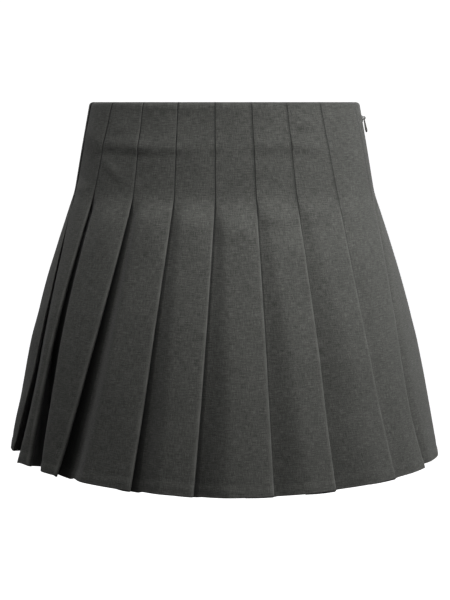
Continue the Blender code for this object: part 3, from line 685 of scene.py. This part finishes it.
def shades_of_row(ring, drop, row):
    """(how rubbed, as wear and painted highlight; how much painted shade) the row's samples get."""
    ways, under, rub_and_highlight = row[0], row[2], row[5]
    free = freed(drop)
    # while sewn down, the edges towards +X get painted shade in place of the rubbed highlight
    pressed = (1.0 - free) * ease((ring.turn_at(ways) - PRESSED_TURN) / PRESSED_TURNS)
    folded = np.maximum(ease(under * (1.0 + PRESSED_NOTCH_SHADE * pressed)), PRESSED_EDGE_SHADE * pressed * rub_and_highlight)
    folded = np.maximum(folded, TOP_SHADE * bell(drop - TOP_SHADE_DROP, TOP_SHADE_WIDTH))
    uneven = RUB_AND_HIGHLIGHT_EVEN + (1.0 - RUB_AND_HIGHLIGHT_EVEN) * np.sin(drop / 6.1 + ways / 40.0)
    rub_and_highlight = rub_and_highlight * (RUB_AND_HIGHLIGHT_SEWN + (1.0 - RUB_AND_HIGHLIGHT_SEWN) * free) * (1.0 - pressed) * uneven
    return np.maximum(rub_and_highlight, HEM_RUB * bell(LENGTH - drop, HEM_RUB_WIDTH)), folded


def thicken(made, rows, columns):
    """Gives the cloth its thickness, doubled along the hem."""
    group = made.vertex_groups.new(name="cloth")
    for r, (drop, _) in enumerate(rows):
        weight = 1.0 if drop > LENGTH - HEM_TURN else CLOTH / HEM_CLOTH
        group.add(list(range(r * columns, (r + 1) * columns)), weight, "REPLACE")
    thick = made.modifiers.new("thickness", "SOLIDIFY")
    thick.material_offset = 1
    thick.thickness = HEM_CLOTH * MM
    thick.offset = -1.0
    thick.use_even_offset = False
    thick.vertex_group = group.name
    thick.use_rim = True


def make_cloth(name, row_of, creases, outside, inside):
    rows = row_drops()
    grid, threads, wear_and_highlight, folded = [], [], [], []
    for drop, angle in rows:
        ring = Ring(drop)
        row = row_of(ring, drop)
        outs = outs_of_row(ring, drop, angle, row, creases)
        grid.append(points_of_row(ring, drop, row, outs))
        threads.append(threads_of_row(drop, row, outs))
        # the first is rubbed paleness with painted highlight, the second painted shade
        rubbed, deeper = shades_of_row(ring, drop, row)
        wear_and_highlight.append(rubbed)
        folded.append(deeper)
    columns = len(grid[0])
    faces = []
    for r in range(len(rows) - 1):
        for c in range(columns - 1):
            a = r * columns + c
            faces.append((a, a + columns, a + columns + 1, a + 1))
    made = make_mesh_object(name, np.vstack(grid) * MM, faces)
    data = made.data
    layer = data.uv_layers.new(name="threads")
    loops = np.zeros(len(data.loops), dtype=np.int32)
    data.loops.foreach_get("vertex_index", loops)
    layer.data.foreach_set("uv", (np.vstack(threads) * MM)[loops].ravel())
    # one attribute for rubbed paleness with painted highlight, one for painted shade
    for layer_name, values in (("wear_and_highlight", wear_and_highlight), ("folded", folded)):
        layer = data.attributes.new(layer_name, "FLOAT", "POINT")
        layer.data.foreach_set("value", np.concatenate(values))
    data.materials.append(outside)
    data.materials.append(inside)
    thicken(made, rows, columns)
    return made


# ---------------------------------------------------------------- materials


class Nodes:
    """Short hand for building one material's node tree."""

    def __init__(self, name):
        self.material = bpy.data.materials.new(name)
        self.material.use_nodes = True
        self.tree = self.material.node_tree
        self.shader = self.tree.nodes["Principled BSDF"]

    def add(self, kind, **settings):
        node = self.tree.nodes.new(kind)
        for key, value in settings.items():
            setattr(node, key, value)
        return node

    def join(self, a, b):
        self.tree.links.new(a, b)

    def set(self, socket, value):
        self.shader.inputs[socket].default_value = value

    def math(self, operation, *values):
        node = self.add("ShaderNodeMath", operation=operation)
        for value, socket in zip(values, node.inputs):
            if isinstance(value, (int, float)):
                socket.default_value = value
            else:
                self.join(value, socket)
        return node.outputs[0]

    def times(self, a, b):
        return self.math("MULTIPLY", a, b)

    def plus(self, first, *others):
        for other in others:
            first = self.math("ADD", first, other)
        return first

    def ribs(self, value, pitch):
        """A sine along the value, in metres."""
        return self.math("SINE", self.times(value, 2.0 * math.pi / pitch))

    def axes(self, vector):
        node = self.add("ShaderNodeSeparateXYZ")
        self.join(vector, node.inputs[0])
        return node.outputs

    def noise(self, vector, scale, detail=2.0, roughness=0.5):
        node = self.add("ShaderNodeTexNoise")
        node.inputs["Scale"].default_value = scale
        node.inputs["Detail"].default_value = detail
        node.inputs["Roughness"].default_value = roughness
        self.join(vector, node.inputs["Vector"])
        return node.outputs["Fac"]

    def stretch(self, vector, scale):
        node = self.add("ShaderNodeMapping")
        node.inputs["Scale"].default_value = scale
        self.join(vector, node.inputs["Vector"])
        return node.outputs[0]

    def attribute(self, name):
        return self.add("ShaderNodeAttribute", attribute_name=name).outputs["Fac"]

    def ramp(self, value, stops):
        node = self.add("ShaderNodeValToRGB")
        elements = node.color_ramp.elements
        while len(elements) < len(stops):
            elements.new(0.5)
        for element, (position, colour) in zip(elements, stops):
            element.position = position
            element.color = (*colour, 1.0)
        self.join(value, node.inputs[0])
        return node.outputs[0]

    def blend(self, factor, colour, over):
        """The colour, with a plain one over it by this factor."""
        node = self.add("ShaderNodeMix", data_type="RGBA")
        self.join(factor, node.inputs["Factor"])
        self.join(colour, node.inputs["A"])
        node.inputs["B"].default_value = (*over, 1.0)
        return node.outputs["Result"]

    def finish(self, colour, rough_by, roughness, height, bump, bump_depth):
        """Joins the shader's colour, its roughness between two values, and its bump."""
        self.join(colour, self.shader.inputs["Base Color"])
        node = self.add("ShaderNodeMapRange")
        node.inputs["To Min"].default_value, node.inputs["To Max"].default_value = roughness
        self.join(rough_by, node.inputs["Value"])
        self.join(node.outputs[0], self.shader.inputs["Roughness"])
        node = self.add("ShaderNodeBump")
        node.inputs["Strength"].default_value = bump
        node.inputs["Distance"].default_value = bump_depth
        self.join(height, node.inputs["Height"])
        self.join(node.outputs[0], self.shader.inputs["Normal"])
        return self.material


def toned(colour, share):
    return tuple(min(1.0, c * share) for c in colour)


THREAD = 0.0011  # the yarns' pitch in metres, over and under
THREAD_DRIFT = 0.0007  # how far they wander


def make_wool(name, dark, middle, light, lint_and_highlight, painted_shade_depth):
    """Matt plain-woven suiting: yarns over and under, mixed dark and light fibres, a faint nap, rubbed paler
    along the folded edges with a painted highlight there, and painted shade where it is folded away, beside
    the edges and along the top."""
    n = Nodes(name)
    threads = n.add("ShaderNodeUVMap", uv_map="threads").outputs["UV"]
    place = n.add("ShaderNodeTexCoord").outputs["Object"]
    drift = n.times(n.noise(threads, 240.0), THREAD_DRIFT)
    round_cloth, down_cloth = n.axes(threads)[:2]
    weave = n.times(n.ribs(n.plus(round_cloth, drift), THREAD), n.ribs(n.plus(down_cloth, drift), THREAD))
    slub_down = n.noise(n.stretch(threads, (1.0, 0.1, 1.0)), 1400.0, 1.0, 0.6)
    slub_round = n.noise(n.stretch(threads, (0.09, 1.0, 1.0)), 1400.0, 1.0, 0.6)
    fleck = n.noise(place, 1900.0, 2.0, 0.7)
    cloud = n.noise(place, 26.0, 3.0)
    shares = ((slub_down, 0.24), (slub_round, 0.28), (fleck, 0.42), (weave, 0.05), (cloud, 0.06))
    mix = n.plus(*(n.times(value, share) for value, share in shares))
    colour = n.ramp(mix, ((0.38, dark), (0.5, middle), (0.62, light)))
    # paler where rubbed, as wear and painted highlight, then darker by painted shade where the folded
    # attribute says
    colour = n.blend(n.times(n.attribute("wear_and_highlight"), 0.7), colour, lint_and_highlight)
    colour = n.blend(n.times(n.attribute("folded"), painted_shade_depth), colour, toned(dark, 0.3))
    n.set("Specular IOR Level", 0.25)
    n.set("Sheen Weight", 0.12)
    n.set("Sheen Roughness", 0.6)
    slubs = n.times(n.plus(slub_down, slub_round), 0.9)
    relief = n.plus(n.times(weave, 0.5), slubs, n.times(fleck, 0.8))
    return n.finish(colour, fleck, (0.78, 0.98), relief, 0.5, 0.00012)


def make_tape_material(name, colour):
    """Zip tape: fine ribs along it in short slanting runs, a little shiny."""
    n = Nodes(name)
    place = n.add("ShaderNodeTexCoord").outputs["Object"]
    _, y, z = n.axes(place)
    ribs = n.ribs(n.plus(y, n.times(z, 0.6)), 0.0008)
    rows = n.ribs(z, 0.0011)
    grain = n.noise(place, 700.0)
    mix = n.plus(n.times(ribs, 0.12), n.times(rows, 0.08), n.times(grain, 0.5), 0.25)
    shade = n.ramp(mix, ((0.3, toned(colour, 0.6)), (0.5, colour), (0.75, toned(colour, 1.7))))
    return n.finish(shade, grain, (0.6, 0.85), mix, 0.6, 0.00015)


def make_enamel(name, colour, bare):
    """Satin enamel over metal, with fine grain, faint rubs, and bare metal along the worn edges."""
    n = Nodes(name)
    place = n.add("ShaderNodeTexCoord").outputs["Object"]
    grain = n.noise(place, 1500.0)
    rubs = n.noise(n.stretch(place, (1.0, 1.0, 0.15)), 900.0, 3.0, 0.6)
    edges = n.add("ShaderNodeNewGeometry").outputs["Pointiness"]
    worn = n.times(n.math("GREATER_THAN", n.plus(edges, n.times(rubs, 0.12)), 0.63), 0.7)
    mix = n.plus(n.times(grain, 0.5), n.times(rubs, 0.5))
    shade = n.ramp(mix, ((0.35, toned(colour, 0.8)), (0.5, colour), (0.65, toned(colour, 1.25))))
    n.set("Metallic", 0.35)
    return n.finish(n.blend(worn, shade, bare), rubs, (0.32, 0.55), grain, 0.3, 0.00005)


# ---------------------------------------------------------------- zip


def tube(name, path, radius, sides, material):
    """A closed tube along the points of a path."""
    verts, faces = [], []
    count = len(path)
    for i, point in enumerate(path):
        ahead = path[min(i + 1, count - 1)] - path[max(i - 1, 0)]
        ahead = ahead / np.linalg.norm(ahead)
        side = np.cross(ahead, (0.0, 0.0, 1.0))
        if np.linalg.norm(side) < 1e-6:
            side = np.array((1.0, 0.0, 0.0))
        side = side / np.linalg.norm(side)
        up = np.cross(side, ahead)
        for k in range(sides):
            turn = 2.0 * math.pi * k / sides
            verts.append(point + radius * (math.cos(turn) * side + math.sin(turn) * up))
    for i in range(count - 1):
        for k in range(sides):
            a, b = i * sides + k, i * sides + (k + 1) % sides
            faces.append((a, b, b + sides, a + sides))
    faces.append(tuple(range(sides))[::-1])
    faces.append(tuple((count - 1) * sides + k for k in range(sides)))
    made = make_mesh_object(name, np.array(verts) * MM, faces)
    made.data.materials.append(material)
    return made


def make_coil(name, side, material):
    """Half of the zip's nylon coil: flat turns along the tape's near edge, linked with the other half's."""
    points = []
    turns = int((COIL_END - COIL_TOP) / COIL_PITCH)
    for i in range(turns * COIL_TURN_STEPS + 1):
        angle = 2.0 * math.pi * i / COIL_TURN_STEPS
        drop = COIL_TOP + COIL_PITCH * i / COIL_TURN_STEPS + (0.0 if side < 0 else COIL_PITCH / 2.0)
        x = smooth_girth("half_width", drop) - COIL_IN + COIL_HALF_THICKNESS * math.sin(angle)
        y = side * (COIL_ASIDE + COIL_HALF_WIDTH * math.cos(angle))
        points.append(np.array((x, y, -drop)))
    return tube(name, points, COIL_WIRE, COIL_WIRE_SIDES, material)


# ---------------------------------------------------------------- scene


# yarn colours, dark, middle and light, then the paler colour used for rubbing and painted highlight
WOOL = ((0.033, 0.0335, 0.0303), (0.075, 0.076, 0.0695), (0.142, 0.144, 0.132), (0.16, 0.162, 0.15))
OUTSIDE_PAINTED_SHADE = 0.95  # how much painted shade the cloth gets where it is folded away, on its right side ...
INSIDE_PAINTED_SHADE = 0.25  # ... and on its wrong side
CHARCOAL = (0.035, 0.035, 0.035)
wool_front = make_wool("wool_front", *WOOL, OUTSIDE_PAINTED_SHADE)
wool_back = make_wool("wool_back", *WOOL, OUTSIDE_PAINTED_SHADE)
wool_front_inside = make_wool("wool_front_inside", *WOOL, INSIDE_PAINTED_SHADE)
wool_back_inside = make_wool("wool_back_inside", *WOOL, INSIDE_PAINTED_SHADE)
coil_nylon = make_enamel("coil_nylon", (0.05, 0.05, 0.05), (0.08, 0.08, 0.08))

cloth_front = make_cloth("cloth_front", front_row, FRONT_CREASES, wool_front, wool_front_inside)
cloth_back = make_cloth("cloth_back", back_row, BACK_CREASES, wool_back, wool_back_inside)
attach(cloth_front, "skirt")
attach(cloth_back, "skirt")
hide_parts("skirt_front")
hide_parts("skirt_back")

for name, side, slot_name in (("zip_coil_front", -1.0, "tape_front"), ("zip_coil_back", 1.0, "tape_back")):
    coil = make_coil(name, side, coil_nylon)
    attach(coil, "skirt")

for node, material in (
    ("zip_tape_front", make_tape_material("tape_front", CHARCOAL)),
    ("zip_tape_back", make_tape_material("tape_back", CHARCOAL)),
    ("zip_slider", make_enamel("slider_metal", (0.03, 0.03, 0.028), (0.2, 0.196, 0.185))),
    ("zip_pull", make_enamel("pull_metal", (0.045, 0.045, 0.039), (0.22, 0.216, 0.2))),
):
    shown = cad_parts[node]
    shown = bpy.data.objects[shown] if isinstance(shown, str) else shown
    if len(shown.material_slots) == 0:
        shown.data.materials.append(material)
    for slot in shown.material_slots:
        slot.material = material


def make_stage():
    """A floor well below the hem and a backdrop all round, both of white paper that glows."""
    paper = Nodes("paper")
    paper.set("Base Color", (0.8, 0.8, 0.8, 1.0))
    paper.set("Roughness", 0.9)
    paper.set("Specular IOR Level", 0.0)
    paper.set("Emission Color", (1.0, 1.0, 1.0, 1.0))
    paper.set("Emission Strength", 1.0)
    for name, build, height, sizes in (
        ("floor", bmesh.ops.create_circle, -0.95, {"cap_ends": True, "radius": 11.0, "segments": 64}),
        ("backdrop", bmesh.ops.create_uvsphere, 0.0, {"u_segments": 48, "v_segments": 24, "radius": 12.0}),
    ):
        mesh = bmesh.new()
        build(mesh, **sizes)
        bmesh.ops.translate(mesh, vec=(0.0, 0.0, height), verts=mesh.verts)
        data = bpy.data.meshes.new(name)
        mesh.to_mesh(data)
        mesh.free()
        made = bpy.data.objects.new(name, data)
        bpy.context.scene.collection.objects.link(made)
        made.data.materials.append(paper.material)
        made.visible_diffuse = False
        made.visible_glossy = False
        made.visible_shadow = False
        made.visible_transmission = False


def make_light(name, azimuth, elevation, distance, size, power):
    """A square soft light. Azimuth is measured from the front towards +X."""
    data = bpy.data.lights.new(name, "AREA")
    data.shape = "SQUARE"
    data.size = size
    data.energy = power
    made = bpy.data.objects.new(name, data)
    turn, tilt = math.radians(azimuth), math.radians(elevation)
    level, height = math.cos(tilt) * distance, math.sin(tilt) * distance
    aim = Vector((0.0, 0.0, -0.15))
    made.location = aim + Vector((math.sin(turn) * level, -math.cos(turn) * level, height))
    made.rotation_euler = (aim - made.location).to_track_quat("-Z", "Y").to_euler()
    bpy.context.scene.collection.objects.link(made)


def make_world(strength):
    world = bpy.data.worlds.new("studio")
    world.use_nodes = True
    background = world.node_tree.nodes["Background"]
    background.inputs["Color"].default_value = (1.0, 1.0, 1.0, 1.0)
    background.inputs["Strength"].default_value = strength
    bpy.context.scene.world = world


def make_camera():
    data = bpy.data.cameras.new("camera")
    data.sensor_width = 36.0
    data.sensor_fit = "HORIZONTAL"
    data.lens = 104.0
    data.clip_start = 0.05
    data.clip_end = 60.0
    made = bpy.data.objects.new("camera", data)
    made.location = (0.0006, -1.3, 0.0)
    made.rotation_euler = (math.radians(81.34), 0.0, 0.0)
    bpy.context.scene.collection.objects.link(made)
    bpy.context.scene.camera = made


make_stage()
make_world(0.096)
make_light("side", azimuth=80.0, elevation=30.0, distance=1.25, size=0.8, power=6.4)
make_light("front", azimuth=46.0, elevation=30.0, distance=1.25, size=0.6, power=5.6)
make_light("overhead", azimuth=4.0, elevation=72.0, distance=1.6, size=1.0, power=18.4)
make_light("back", azimuth=172.0, elevation=28.0, distance=1.5, size=1.0, power=13.0)
make_camera()
bpy.context.scene.view_settings.view_transform = "Standard"
